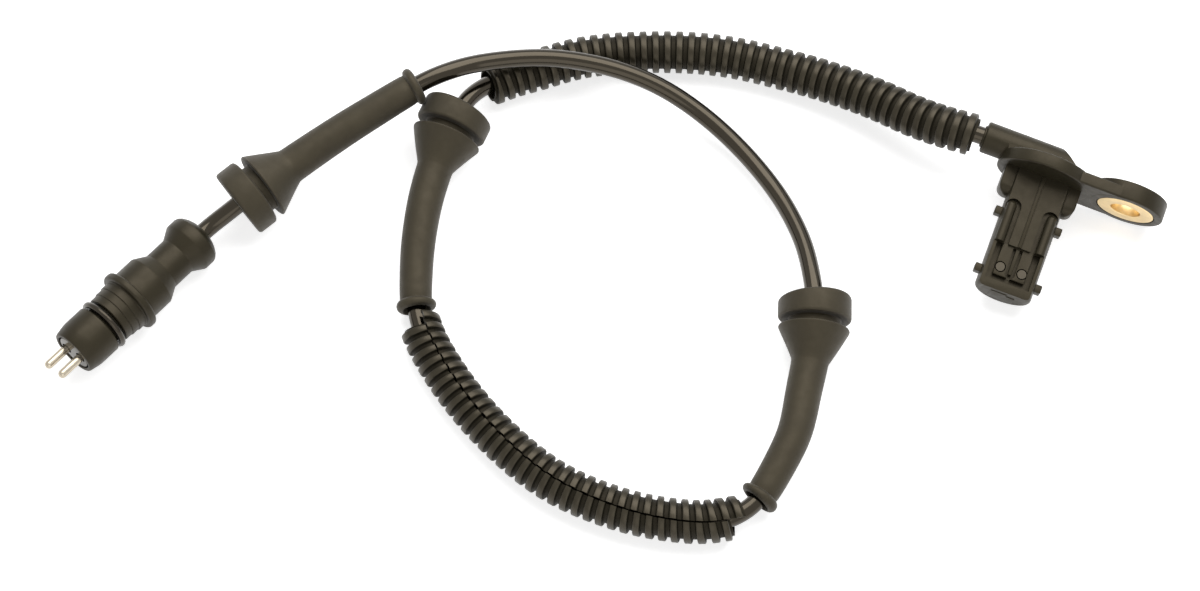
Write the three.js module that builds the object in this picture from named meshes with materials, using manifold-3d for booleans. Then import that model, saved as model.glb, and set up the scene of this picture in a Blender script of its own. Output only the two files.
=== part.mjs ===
// Wheel speed sensor for a car's anti-lock brakes, lying on a flat surface: sensor head, cable with two split
// corrugated conduits and three rubber grommets, and a round two-pin plug.
// Millimetres, +Z up. +X runs from the cable's boss to the bolt's ear, -Y is the way the sensing nose points.
import * as THREE from 'three';
import * as BufferGeometryUtils from 'three/addons/utils/BufferGeometryUtils.js';
import Module from 'manifold-3d';

const wasm = await Module();
wasm.setup();

const UP = new THREE.Vector3(0, 0, 1);

// Clearance left between two pieces that touch on the real part
const fitGap = 0.3;

// Clearance round the cable where it runs through a piece
const cableGap = 0.45;

// Seat disc and bolt ear, measured from the seat plane towards the back
const seatRadius = 13.3;
const seatThickness = 3.7;
const seatEdge = 0.4;
const strapHalfHeight = 9.9;
const strapThickness = 3.4;
const earReach = 24;
const earThickness = 5.2;
const earWall = 2.2;
const bushOuterRadius = 8;
const boltHoleRadius = 4.2;
const bushChamfer = 0.3;

// Cable boss, a round bar along the back of the seat disc
const bossRadius = 4.4;
const bossReach = 19;
const bossAxisBack = 5.8;
const bossSlopeFrom = 2;
const bossSlopeRun = 7.8;
const collarRadius = 3.4;
const collarLength = 0.9;

// Nose, a round bar with its top side cut flat
const noseRadius = 7.95;
const noseLength = 34.7;
const noseTipEdge = 1.1;
const noseFlatHeight = 3.4;
const noseWall = 0.7;
const shoulderHalfWidth = 10.85;
const shoulderLength = 8.2;
const shoulderCorner = 3;
const shoulderTop = 2.6;
const shoulderBottom = -4.2;
const lugProud = 1.65;
const lugLength = 2.3;
const lugHalfHeight = 1.6;
const lugFromSeat = [12.8, noseLength - 4.8];

// Relief on the flat side of the nose, whose window, slot and pegs are placed back from the tip
const plateHalfWidth = 3.1;
const reliefEnd = noseLength - 13.2;
const railRadius = 1.4;
const railFromAxis = 5.8;
const railStart = 9.6;
const railGrooveDepth = 1;
const ribHalfWidth = 0.5;
const ribHeight = 0.5;
const ribStart = 0.6;
const windowEnd = noseLength - 2.5;
const windowHalfWidth = 6.3;
const windowDepth = 1.5;
const padHalfWidth = 4.5;
const padHeight = 0.6;
const padLength = 9;
const slotHalfWidth = 1.4;
const slotEnd = noseLength - 4.1;
const pegRadius = 1.25;
const pegFromAxis = 3.1;
const pegFromSeat = noseLength - 6.7;

// Pieces moulded into the head
const carrierHalfWidth = 4.5;
const carrierBottom = -4.4;
const carrierBehindSeat = 2.6;
const elementSize = { width: 4.4, thickness: 1.5, height: 4 };
const terminalWidth = 0.8;
const terminalThickness = 0.5;
const terminalPitch = 1.9;
const coreRadius = 0.9;
const cableInBoss = 8.6;

// Cable and split conduits
const cableRadius = 2.5;
const cableSides = 10;
const cableSteps = 80;
const conduitCrestRadius = 5.75;
const conduitTroughRadius = 4.85;
const conduitWall = 0.5;
const conduitPitch = 3.33;
const conduitTroughShare = 0.34;
const conduitFlankShare = 0.07;
const conduitOuterSides = 12;
const conduitBoreSides = 7;
const conduitSlit = 0.5;
const longConduit = { start: 4.9, rings: 42, slitAngle: 2.5, slitTurn: -0.8 };
const shortConduit = { start: 226.4, rings: 32, slitAngle: 2.2, slitTurn: -0.5 };

// Rubber grommets: head disc, groove, cone, sleeve and end bead
const grommetLength = 60.5;
const grommetHeadRadius = 10;
const grommetHeadThickness = 5.4;
const grommetHeadEdge = 0.8;
const grooveRadius = 7;
const grooveWidth = 2.9;
const coneRimRadius = 9.7;
const coneRimWidth = 0.7;
const coneLength = 8.6;
const sleeveRadius = 5.05;
const sleeveEndRadius = 4.4;
const beadRadius = 5.55;
const beadLength = 3.6;
const grommetSides = 16;
const boreStep = 6.5;

// Plug, turned about its own axis. Distances run from the cable's mouth towards the pins.
const plugLength = 49.2;
const plugCollarRadius = 7.75;
const plugCollarEnd = 5.9;
const plugDome = 2.7;
const plugNeckRadius = 5.7;
const plugNeckStart = 9.3;
const plugNeckEnd = 16;
const plugRearRadius = 7.75;
const plugRearStart = 19.6;
const plugFlangeRadius = 9.15;
const plugFlangeStart = 26;
const plugFlangeWidth = 3;
const plugBodyRadius = 7.3;
const plugBodyStep = 0.25;
const sealGrooveStart = 35.8;
const sealGrooveWidth = 3.3;
const sealRadius = 0.95;
const sealProud = 0.45;
const plugFrontRadius = 7.3;
const plugFrontTaper = 3.5;
const plugFaceRadius = 6.6;
const plugSides = 28;
const insertRadius = 5.2;
const insertDepth = 1.2;
const insertLength = 7.6;
const wireChamberRadius = 4.5;
const pinRadius = 1.2;
const pinSpacing = 5.6;
const pinProud = 7.6;
const pinTail = 9;
const pinRoll = 0.32;
const cableInPlug = 18;

// The cable leaves the boss and the plug in a straight line
const cordStraight = 3;

// Where the plug lies, and the way its pins point, turned from +X about +Z
const plugMouthAt = { x: -217.7, y: -81.9 };
const plugHeading = -1.935;

// Cord's route from the boss to the plug, chosen by hand. The heights are the cable's own axis.
const route = [
  [-35.5, 17.7, 15.7],
  [-46, 19.3, 12.7],
  [-57.5, 22.2, 9.7],
  [-71, 24, 7.1],
  [-87, 24, 5.5],
  [-104.5, 21.5, 5],
  [-121.5, 16, 5],
  [-139.5, 7.5, 5.1],
  [-151.5, -2.5, 6.3],
  [-159.5, -12.8, 9.2],
  [-164, -24, 10.7],
  [-165.5, -35, 9.9],
  [-163.5, -54, 8],
  [-159.5, -69.5, 6.6],
  [-153, -84, 5.5],
  [-140.5, -96, 5],
  [-122, -107.5, 5],
  [-101.5, -115, 5],
  [-80.5, -116, 5],
  [-64.5, -113.2, 5],
  [-54, -106.5, 5.3],
  [-48.2, -97, 6.1],
  [-46.5, -82.5, 7.4],
  [-48.5, -63, 9.2],
  [-53, -44.5, 10.6],
  [-56.5, -35.2, 8.9],
  [-63, -24.2, 5.2],
  [-74, -13, 2.8],
  [-89, -3, 2.8],
  [-103.5, 2.5, 5.4],
  [-117, 4, 10.1],
  [-131, 2.5, 14.1],
  [-148, -2, 15.8],
  [-165.3, -11, 16.9],
  [-177, -21, 17.9],
  [-191, -40, 14.3],
  [-202.5, -56.5, 11.4],
  [-210, -67.4, 10.1],
  [-213.9, -73.3, 8.3],
];

// Materials
function finish(color, roughness, metalness = 0) {
  return new THREE.MeshStandardMaterial({ color, roughness, metalness });
}
const glassFilledNylon = finish(0x38342c, 0.55);
const mouldedRubber = finish(0x45403a, 0.8);
const conduitPlastic = finish(0x37332b, 0.5);
const cableSheath = finish(0x1d1b18, 0.25);
const sealRubber = finish(0x191715, 0.3);
const brass = finish(0xd9bf86, 0.3, 1);
const nickelPlate = finish(0xd2cfc8, 0.2, 1);
const tinnedCopper = finish(0xc9b79f, 0.35, 1);
const carrierPlastic = finish(0x4a463d, 0.5);
const chipEpoxy = finish(0x151515, 0.5);
const redCore = finish(0x8c2f26, 0.45);
const whiteCore = finish(0xd8d4ca, 0.45);

// Solids for joining and cutting
function closedMesh(geometry) {
  const bare = geometry.clone();
  bare.deleteAttribute('normal');
  bare.deleteAttribute('uv');
  return BufferGeometryUtils.mergeVertices(bare, 1e-4);
}

function solid(geometry) {
  const merged = closedMesh(geometry);
  return new wasm.Manifold(new wasm.Mesh({
    numProp: 3,
    vertProperties: new Float32Array(merged.attributes.position.array),
    triVerts: new Uint32Array(merged.index.array),
  }));
}

function toGeometry(body) {
  const { vertProperties, triVerts, numProp } = body.getMesh();
  const positions = new Float32Array((vertProperties.length / numProp) * 3);
  for (let i = 0; i < positions.length / 3; i += 1) {
    positions.set(vertProperties.subarray(i * numProp, i * numProp + 3), i * 3);
  }
  const geometry = new THREE.BufferGeometry();
  geometry.setAttribute('position', new THREE.BufferAttribute(positions, 3));
  geometry.setIndex(Array.from(triVerts));
  return geometry;
}

function piece(name, shape, material) {
  const geometry = shape instanceof THREE.BufferGeometry ? shape : toGeometry(shape);
  geometry.computeVertexNormals();
  const mesh = new THREE.Mesh(geometry, material);
  mesh.name = name;
  return mesh;
}

// Plain bodies by their corners or ends
function block(x0, x1, y0, y1, z0, z1) {
  const box = new THREE.BoxGeometry(x1 - x0, y1 - y0, z1 - z0);
  return solid(box.translate((x0 + x1) / 2, (y0 + y1) / 2, (z0 + z1) / 2));
}

function rodAlongX(radius, x0, x1, y, z, sides = 24) {
  const rod = new THREE.CylinderGeometry(radius, radius, x1 - x0, sides).rotateZ(-Math.PI / 2);
  return solid(rod.translate((x0 + x1) / 2, y, z));
}

function rodAlongY(radius, y0, y1, x, z, sides = 24) {
  const rod = new THREE.CylinderGeometry(radius, radius, y1 - y0, sides);
  return solid(rod.translate(x, (y0 + y1) / 2, z));
}

function rodAlongZ(radius, z0, z1, x, y, sides = 16) {
  const rod = new THREE.CylinderGeometry(radius, radius, z1 - z0, sides).rotateX(Math.PI / 2);
  return solid(rod.translate(x, y, (z0 + z1) / 2));
}

// A profile of [radius, place] pairs turned about the Y axis
function turned(profile, sides) {
  return new THREE.LatheGeometry(profile.map(([r, y]) => new THREE.Vector2(r, y)), sides);
}

// An outline in X and Z, drawn out along Y
function slab(shape, y0, y1, curveSegments = 12) {
  const plate = new THREE.ExtrudeGeometry(shape, { depth: y1 - y0, bevelEnabled: false, curveSegments });
  return solid(plate.rotateX(Math.PI / 2).translate(0, y1, 0));
}

// Sensor head
const nose = {
  windowFloor: noseFlatHeight - windowDepth,
  padTop: noseFlatHeight - windowDepth + padHeight,
};
const earRadius = bushOuterRadius + fitGap + earWall;
const terminalHalf = terminalThickness / 2;
const carrierTop = -(terminalHalf + fitGap);
const elementBack = -(noseLength - noseWall - fitGap - elementSize.thickness);
const carrierFront = elementBack + fitGap;
const jacketEndX = -(bossReach - cableInBoss);

function seatDisc() {
  return solid(turned([
    [0, 0],
    [seatRadius - seatEdge, 0],
    [seatRadius, seatEdge],
    [seatRadius, seatThickness - seatEdge],
    [seatRadius - seatEdge, seatThickness],
    [0, seatThickness],
  ], 40));
}

function boltEar() {
  const outline = new THREE.Shape();
  outline.moveTo(0, -strapHalfHeight);
  outline.lineTo(earReach, -strapHalfHeight);
  outline.lineTo(earReach, strapHalfHeight);
  outline.lineTo(0, strapHalfHeight);
  const strap = slab(outline, 0, strapThickness);
  const pad = rodAlongY(earRadius, 0, earThickness, earReach, 0, 36);
  return strap.add(pad);
}

function cableBoss() {
  const slopeEnd = bossSlopeFrom + bossSlopeRun;
  const back = bossAxisBack + bossRadius;
  const side = new THREE.Shape();
  side.moveTo(-bossReach, 0);
  side.lineTo(slopeEnd, 0);
  side.lineTo(slopeEnd, strapThickness);
  side.lineTo(bossSlopeFrom, back);
  side.lineTo(-bossReach, back);
  const envelope = new THREE.ExtrudeGeometry(side, { depth: 2 * bossRadius, bevelEnabled: false });
  const bar = rodAlongX(bossRadius, -bossReach, slopeEnd, bossAxisBack, 0, 28);
  const web = block(-seatRadius + 1, slopeEnd, 0, bossAxisBack, -bossRadius, bossRadius);
  const boss = bar.add(web).intersect(solid(envelope.translate(0, 0, -bossRadius)));
  const collar = rodAlongX(collarRadius, -bossReach - collarLength, -bossReach + 0.5, bossAxisBack, 0, 20);
  return boss.add(collar);
}

function noseBar() {
  const bar = solid(turned([
    [0, -noseLength],
    [noseRadius - noseTipEdge, -noseLength],
    [noseRadius, -noseLength + noseTipEdge],
    [noseRadius, seatThickness / 2],
    [0, seatThickness / 2],
  ], 40));
  const above = block(-noseRadius - 1, noseRadius + 1, -noseLength - 1, 0, noseFlatHeight, noseRadius + 1);
  let body = bar.subtract(above);
  for (const side of [-1, 1]) {
    const x = side * railFromAxis;
    const z = noseFlatHeight - 0.1;
    body = body.add(rodAlongY(railRadius, -reliefEnd, -railStart - railRadius, x, z, 12));
    const dome = new THREE.SphereGeometry(railRadius, 12, 6).translate(x, -railStart - railRadius, z);
    body = body.add(solid(dome));
  }
  return body;
}

function shoulders() {
  const w = shoulderHalfWidth;
  const end = -shoulderLength;
  const outline = new THREE.Shape();
  outline.moveTo(-w, 1);
  outline.lineTo(-w, end + shoulderCorner);
  outline.absarc(-w + shoulderCorner, end + shoulderCorner, shoulderCorner, Math.PI, 1.5 * Math.PI, false);
  outline.lineTo(w - shoulderCorner, end);
  outline.absarc(w - shoulderCorner, end + shoulderCorner, shoulderCorner, 1.5 * Math.PI, 2 * Math.PI, false);
  outline.lineTo(w, 1);
  const depth = shoulderTop - shoulderBottom;
  const plate = new THREE.ExtrudeGeometry(outline, { depth, bevelEnabled: false, curveSegments: 6 });
  return solid(plate.translate(0, 0, shoulderBottom));
}

function lugs() {
  const reach = noseRadius + lugProud;
  return lugFromSeat.map((y) => {
    return block(-reach, reach, -y - lugLength / 2, -y + lugLength / 2, -lugHalfHeight, lugHalfHeight);
  });
}

// Cuts on the flat side, then the rib and the pad that stand in them
function reliefCuts() {
  const top = noseRadius + 1;
  const cuts = [];
  for (const side of [-1, 1]) {
    const inner = side * plateHalfWidth;
    const outer = side * (railFromAxis - railRadius);
    const floor = noseFlatHeight - railGrooveDepth;
    cuts.push(block(
      Math.min(inner, outer),
      Math.max(inner, outer),
      -reliefEnd - 0.5,
      -railStart,
      floor,
      top,
    ));
  }
  cuts.push(block(-windowHalfWidth, windowHalfWidth, -windowEnd, -reliefEnd, nose.windowFloor, top));
  return cuts;
}

function reliefPads() {
  const padEnd = -reliefEnd - padLength;
  const root = nose.windowFloor - 0.5;
  const pad = block(-padHalfWidth, padHalfWidth, padEnd, -reliefEnd + 0.2, root, nose.padTop);
  const slot = block(
    -slotHalfWidth,
    slotHalfWidth,
    -slotEnd + slotHalfWidth,
    -reliefEnd - 0.3,
    nose.windowFloor,
    nose.padTop + 1,
  );
  const slotRound = rodAlongZ(slotHalfWidth, nose.windowFloor, nose.padTop + 1, 0, -slotEnd + slotHalfWidth);
  const rib = block(
    -ribHalfWidth,
    ribHalfWidth,
    -slotEnd + slotHalfWidth,
    -ribStart,
    root,
    noseFlatHeight + ribHeight,
  );
  const ribTail = block(-1, 1, -windowEnd, -reliefEnd, nose.padTop, noseFlatHeight + 1);
  return pad.subtract(slot).subtract(slotRound).add(rib.subtract(ribTail));
}

function headCavity() {
  const g = fitGap;
  const seatBack = carrierBehindSeat + g;
  const carrierRoom = block(
    -carrierHalfWidth - g,
    carrierHalfWidth + g,
    carrierFront - g,
    seatBack,
    carrierBottom - g,
    terminalHalf + g,
  );
  const elementRoom = block(
    -elementSize.width / 2 - g,
    elementSize.width / 2 + g,
    -noseLength + noseWall,
    carrierFront,
    -elementSize.height / 2 - g,
    elementSize.height / 2 + g,
  );
  const coreReach = terminalHalf + g + 2 * coreRadius + g;
  const wireRoom = block(
    jacketEndX - g,
    terminalPitch / 2 + terminalWidth / 2 + 3 * g,
    seatBack - 0.5,
    bossAxisBack + coreRadius + g,
    -coreReach,
    coreReach,
  );
  const cableBore = rodAlongX(
    cableRadius + cableGap,
    -bossReach - collarLength - 1,
    jacketEndX + g,
    bossAxisBack,
    0,
    20,
  );
  let room = carrierRoom.add(elementRoom).add(wireRoom).add(cableBore);
  for (const side of [-1, 1]) {
    const top = nose.padTop + 1;
    room = room.add(rodAlongZ(pegRadius + g, carrierTop, top, side * pegFromAxis, -pegFromSeat));
  }
  return room;
}

function sensorHousing() {
  let body = noseBar().add(shoulders());
  for (const lug of lugs()) {
    body = body.add(lug);
  }
  for (const cut of reliefCuts()) {
    body = body.subtract(cut);
  }
  body = body.add(reliefPads()).add(seatDisc()).add(boltEar()).add(cableBoss());
  const bushHole = rodAlongY(bushOuterRadius + fitGap, -1, earThickness + 1, earReach, 0, 36);
  return piece('sensor_housing', body.subtract(bushHole).subtract(headCavity()), glassFilledNylon);
}

function mountingBush() {
  const c = bushChamfer;
  const ring = turned([
    [boltHoleRadius, c],
    [boltHoleRadius + c, 0],
    [bushOuterRadius - c, 0],
    [bushOuterRadius, c],
    [bushOuterRadius, earThickness - c],
    [bushOuterRadius - c, earThickness],
    [boltHoleRadius + c, earThickness],
    [boltHoleRadius, earThickness - c],
    [boltHoleRadius, c],
  ], 36);
  return piece('mounting_bush', solid(ring.translate(earReach, 0, 0)), brass);
}

function elementCarrier() {
  let body = block(
    -carrierHalfWidth,
    carrierHalfWidth,
    carrierFront,
    carrierBehindSeat,
    carrierBottom,
    carrierTop,
  );
  for (const side of [-1, 1]) {
    const x = side * pegFromAxis;
    body = body.add(rodAlongZ(pegRadius, carrierTop - 1, nose.padTop, x, -pegFromSeat));
  }
  return piece('element_carrier', body, carrierPlastic);
}

function sensingElement() {
  const w = elementSize.width / 2;
  const h = elementSize.height / 2;
  const body = block(-w, w, elementBack - elementSize.thickness, elementBack, -h, h);
  return piece('sensing_element', body, chipEpoxy);
}

function terminal(name, side) {
  const x = (side * terminalPitch) / 2;
  const half = terminalWidth / 2;
  const back = bossAxisBack + coreRadius;
  return piece(name, block(x - half, x + half, carrierFront, back, -terminalHalf, terminalHalf), tinnedCopper);
}

// The upper core ends over the left terminal, and the lower one runs on to the right terminal
function headCore(name, side, level, material) {
  const endX = (side * terminalPitch) / 2 + terminalWidth / 2;
  const z = level * (terminalHalf + fitGap + coreRadius);
  return piece(name, rodAlongX(coreRadius, jacketEndX + fitGap, endX, bossAxisBack, z, 12), material);
}

// The head lies on the rims of its seat disc and its ear, and on the tip of its nose
const restRoll = Math.asin((seatRadius - earRadius) / earReach);
const restPitch = Math.asin((seatRadius - noseRadius) / (noseLength - noseTipEdge));

const head = new THREE.Group();
head.add(
  sensorHousing(),
  mountingBush(),
  elementCarrier(),
  sensingElement(),
  terminal('terminal_left', -1),
  terminal('terminal_right', 1),
  headCore('head_core_upper', -1, 1, redCore),
  headCore('head_core_lower', 1, -1, whiteCore),
);
head.rotation.set(restPitch, restRoll, 0, 'XYZ');
head.updateMatrixWorld(true);
const headBox = new THREE.Box3().setFromObject(head, true);
const headCentre = headBox.getCenter(new THREE.Vector3());
head.position.set(-headCentre.x, -headCentre.y, -headBox.min.z);
head.updateMatrixWorld(true);

// Plug, with its axis along +X and its cable mouth at the origin
function alongX(geometry) {
  return geometry.rotateZ(-Math.PI / 2);
}

const plugSealEnd = sealGrooveStart + sealGrooveWidth;
const sealCentreRadius = plugFrontRadius + sealProud - sealRadius;
const sealFloorRadius = sealCentreRadius - sealRadius - fitGap;
const plugFlangeEnd = plugFlangeStart + plugFlangeWidth;
const insertBack = plugLength - insertDepth - insertLength;
const pinRearAt = insertBack - pinTail;
const wireChamberStart = cableInPlug + fitGap;

function plugBody() {
  const edge = 0.7;
  const stepLength = (sealGrooveStart - plugFlangeEnd) / 3;
  const outer = [
    [cableRadius + cableGap, 0],
    [cableRadius + 1.2, 0],
    [plugCollarRadius - 2.2, 0.5],
    [plugCollarRadius - 0.6, plugDome * 0.6],
    [plugCollarRadius, plugDome],
    [plugCollarRadius, plugCollarEnd],
    [plugNeckRadius, plugNeckStart],
    [plugNeckRadius, plugNeckEnd],
    [plugRearRadius, plugRearStart],
    [plugRearRadius, plugFlangeStart - 0.6],
    [plugFlangeRadius - 2 * edge, plugFlangeStart],
    [plugFlangeRadius - edge * 0.3, plugFlangeStart + edge * 0.3],
    [plugFlangeRadius, plugFlangeStart + edge],
    [plugFlangeRadius, plugFlangeEnd - edge],
    [plugFlangeRadius - edge * 0.3, plugFlangeEnd - edge * 0.3],
    [plugFlangeRadius - edge, plugFlangeEnd],
    [plugBodyRadius + plugBodyStep, plugFlangeEnd],
    [plugBodyRadius + plugBodyStep, plugFlangeEnd + stepLength],
    [plugBodyRadius, plugFlangeEnd + stepLength],
    [plugBodyRadius, plugFlangeEnd + 2 * stepLength],
    [plugBodyRadius - plugBodyStep, plugFlangeEnd + 2 * stepLength],
    [plugBodyRadius - plugBodyStep, sealGrooveStart],
    [sealFloorRadius, sealGrooveStart],
    [sealFloorRadius, plugSealEnd],
    [plugFrontRadius, plugSealEnd],
    [plugFrontRadius, plugLength - plugFrontTaper],
    [plugFaceRadius, plugLength],
  ];
  const bore = [
    [insertRadius + fitGap, plugLength],
    [insertRadius + fitGap, insertBack - fitGap],
    [wireChamberRadius, insertBack - fitGap],
    [wireChamberRadius, wireChamberStart],
    [cableRadius + cableGap, wireChamberStart],
    [cableRadius + cableGap, 0],
  ];
  return piece('plug_body', solid(alongX(turned([...outer, ...bore], plugSides))), glassFilledNylon);
}

function pinCarrier() {
  const front = plugLength - insertDepth;
  let body = rodAlongX(insertRadius, insertBack, front, 0, 0, plugSides);
  for (const side of [-1, 1]) {
    const y = (side * pinSpacing) / 2;
    body = body.subtract(rodAlongX(pinRadius + fitGap, insertBack - 1, front + 1, y, 0, 16));
  }
  return piece('pin_carrier', body, glassFilledNylon);
}

function sealRing() {
  const ring = new THREE.TorusGeometry(sealCentreRadius, sealRadius, 8, plugSides).rotateY(Math.PI / 2);
  const middle = sealGrooveStart + sealGrooveWidth / 2;
  return piece('plug_seal_ring', solid(ring.translate(middle, 0, 0)), sealRubber);
}

function contactPin(name, side) {
  const tip = plugLength + pinProud;
  const shank = turned([
    [0, pinRearAt],
    [pinRadius, pinRearAt],
    [pinRadius, tip - pinRadius],
    [pinRadius * 0.8, tip - pinRadius * 0.4],
    [pinRadius * 0.4, tip - pinRadius * 0.08],
    [0, tip],
  ], 16);
  return piece(name, solid(alongX(shank).translate(0, (side * pinSpacing) / 2, 0)), nickelPlate);
}

// A wire core runs slanting from the cable's end to the tail of its pin
function plugCore(name, side, material) {
  const from = new THREE.Vector3(cableInPlug + 2 * fitGap, side * (coreRadius + fitGap), 0);
  const to = new THREE.Vector3(pinRearAt - 2 * fitGap, (side * pinSpacing) / 2, 0);
  const run = to.clone().sub(from);
  const core = new THREE.CylinderGeometry(coreRadius, coreRadius, run.length(), 12);
  const axis = run.clone().normalize();
  core.applyQuaternion(new THREE.Quaternion().setFromUnitVectors(new THREE.Vector3(0, 1, 0), axis));
  const middle = from.clone().add(to).multiplyScalar(0.5);
  return piece(name, solid(core.translate(middle.x, middle.y, middle.z)), material);
}

// The plug lies on the rims of its flange and its collar, so its pins point slightly upwards
const plugContactRun = plugFlangeStart + plugFlangeWidth / 2 - (plugDome + plugCollarEnd) / 2;
const plugTilt = Math.asin((plugFlangeRadius - plugCollarRadius) / plugContactRun);

const pinRow = new THREE.Group();
pinRow.add(
  pinCarrier(),
  contactPin('contact_pin_left', 1),
  contactPin('contact_pin_right', -1),
  plugCore('plug_core_left', 1, redCore),
  plugCore('plug_core_right', -1, whiteCore),
);
pinRow.rotation.x = pinRoll;

const plug = new THREE.Group();
plug.add(plugBody(), sealRing(), pinRow);
plug.rotation.set(0, -plugTilt, plugHeading, 'ZYX');
plug.position.set(plugMouthAt.x, plugMouthAt.y, 0);
plug.updateMatrixWorld(true);
plug.position.z = -new THREE.Box3().setFromObject(plug, true).min.z;
plug.updateMatrixWorld(true);

// Cord's curve, from inside the boss to inside the plug
const cordPoints = [
  head.localToWorld(new THREE.Vector3(jacketEndX, bossAxisBack, 0)),
  head.localToWorld(new THREE.Vector3(-bossReach, bossAxisBack, 0)),
  head.localToWorld(new THREE.Vector3(-bossReach - cordStraight, bossAxisBack, 0)),
  ...route.map(([x, y, z]) => new THREE.Vector3(x, y, z)),
  plug.localToWorld(new THREE.Vector3(-cordStraight, 0, 0)),
  plug.localToWorld(new THREE.Vector3(0, 0, 0)),
  plug.localToWorld(new THREE.Vector3(cableInPlug, 0, 0)),
];
const cord = new THREE.CatmullRomCurve3(cordPoints, false, 'centripetal');
cord.arcLengthDivisions = 1600;
const cordLength = cord.getLength();

// Centre and cross directions of the cord at a distance from the boss's mouth
function cordPlace(distance) {
  const share = (distance + cableInBoss) / cordLength;
  const centre = cord.getPointAt(share);
  const along = cord.getTangentAt(share);
  const side = new THREE.Vector3().crossVectors(along, UP).normalize();
  const rise = new THREE.Vector3().crossVectors(side, along);
  return { centre, side, rise };
}

function onCord(place, radius, angle) {
  return place.centre.clone()
    .addScaledVector(place.side, radius * Math.cos(angle))
    .addScaledVector(place.rise, radius * Math.sin(angle));
}

// A skin over loops of points, either closed back to the first loop or capped at both ends
function skin(loops, capOutline) {
  const size = loops[0].length;
  const positions = loops.flat().flatMap((p) => [p.x, p.y, p.z]);
  const index = [];
  const bands = capOutline ? loops.length - 1 : loops.length;
  for (let i = 0; i < bands; i += 1) {
    const here = i * size;
    const next = ((i + 1) % loops.length) * size;
    for (let j = 0; j < size; j += 1) {
      const k = (j + 1) % size;
      index.push(here + j, here + k, next + k, here + j, next + k, next + j);
    }
  }
  if (capOutline) {
    const last = (loops.length - 1) * size;
    for (const [a, b, c] of THREE.ShapeUtils.triangulateShape(capOutline, [])) {
      index.push(a, c, b, last + a, last + b, last + c);
    }
  }
  const geometry = new THREE.BufferGeometry();
  geometry.setAttribute('position', new THREE.Float32BufferAttribute(positions, 3));
  geometry.setIndex(index);
  return facedOut(geometry);
}

function facedOut(geometry) {
  const position = geometry.attributes.position;
  const index = geometry.index.array;
  const corner = [0, 1, 2].map(() => new THREE.Vector3());
  let volume = 0;
  for (let i = 0; i < index.length; i += 3) {
    corner.forEach((p, k) => p.fromBufferAttribute(position, index[i + k]));
    volume += corner[0].dot(corner[1].cross(corner[2]));
  }
  if (volume < 0) {
    for (let i = 0; i < index.length; i += 3) {
      [index[i + 1], index[i + 2]] = [index[i + 2], index[i + 1]];
    }
  }
  return geometry;
}

function cableJacket() {
  const section = new THREE.Shape();
  for (let i = 0; i < cableSides; i += 1) {
    const a = (i / cableSides) * 2 * Math.PI;
    section[i ? 'lineTo' : 'moveTo'](cableRadius * Math.cos(a), cableRadius * Math.sin(a));
  }
  const tube = new THREE.ExtrudeGeometry(section, { steps: cableSteps, extrudePath: cord, bevelEnabled: false });
  return piece('cable_jacket', facedOut(closedMesh(tube)), cableSheath);
}

// Grommet profile as [distance from the head's outer face, radius], the outside first and then the bore
function grommetProfile() {
  const headEnd = grommetHeadThickness;
  const coneStart = headEnd + grooveWidth;
  const coneEnd = coneStart + coneRimWidth + coneLength;
  const beadStart = grommetLength - beadLength;
  const bore = cableRadius / Math.cos(Math.PI / grommetSides) + cableGap;
  const edge = grommetHeadEdge;
  const outside = [
    [0, grommetHeadRadius - edge],
    [edge * 0.3, grommetHeadRadius - edge * 0.3],
    [edge, grommetHeadRadius],
    [headEnd - edge, grommetHeadRadius],
    [headEnd - edge * 0.3, grommetHeadRadius - edge * 0.3],
    [headEnd, grommetHeadRadius - edge],
    [headEnd, grooveRadius],
    [coneStart, grooveRadius],
    [coneStart, coneRimRadius - 0.4],
    [coneStart + coneRimWidth, coneRimRadius],
    [coneEnd, sleeveRadius],
  ];
  const sleeveBands = 5;
  for (let i = 1; i <= sleeveBands; i += 1) {
    const share = i / sleeveBands;
    outside.push([
      coneEnd + (beadStart - coneEnd) * share,
      sleeveRadius + (sleeveEndRadius - sleeveRadius) * share,
    ]);
  }
  outside.push(
    [beadStart + beadLength * 0.2, beadRadius * 0.95],
    [beadStart + beadLength * 0.35, beadRadius],
    [beadStart + beadLength * 0.7, beadRadius],
    [grommetLength, beadRadius * 0.82],
  );
  const boreBands = Math.round(grommetLength / boreStep);
  const inside = [];
  for (let i = boreBands; i >= 0; i -= 1) {
    inside.push([(grommetLength * i) / boreBands, bore]);
  }
  return [...outside, ...inside];
}

// The head faces the way given by facing: 1 when the sleeve runs on towards the plug
function grommet(name, headAt, facing) {
  const loops = grommetProfile().map(([distance, radius]) => {
    const place = cordPlace(headAt + facing * distance);
    const loop = [];
    for (let i = 0; i < grommetSides; i += 1) {
      loop.push(onCord(place, radius, (i / grommetSides) * 2 * Math.PI));
    }
    return loop;
  });
  return piece(name, skin(loops, null), mouldedRubber);
}

// A conduit lies on the surface where the cable lies in its floor, and hangs on the cable where that is higher
const conduitBoreRadius = conduitTroughRadius - conduitWall;
const conduitSlack = conduitBoreRadius * Math.cos(Math.PI / conduitBoreSides) - cableRadius - fitGap;
const conduitRestHeight = conduitCrestRadius + 0.1;

function conduitPlace(distance) {
  const place = cordPlace(distance);
  const cableHeight = place.centre.z;
  place.centre.z = Math.max(conduitRestHeight, cableHeight - conduitSlack);
  return place;
}

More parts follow.
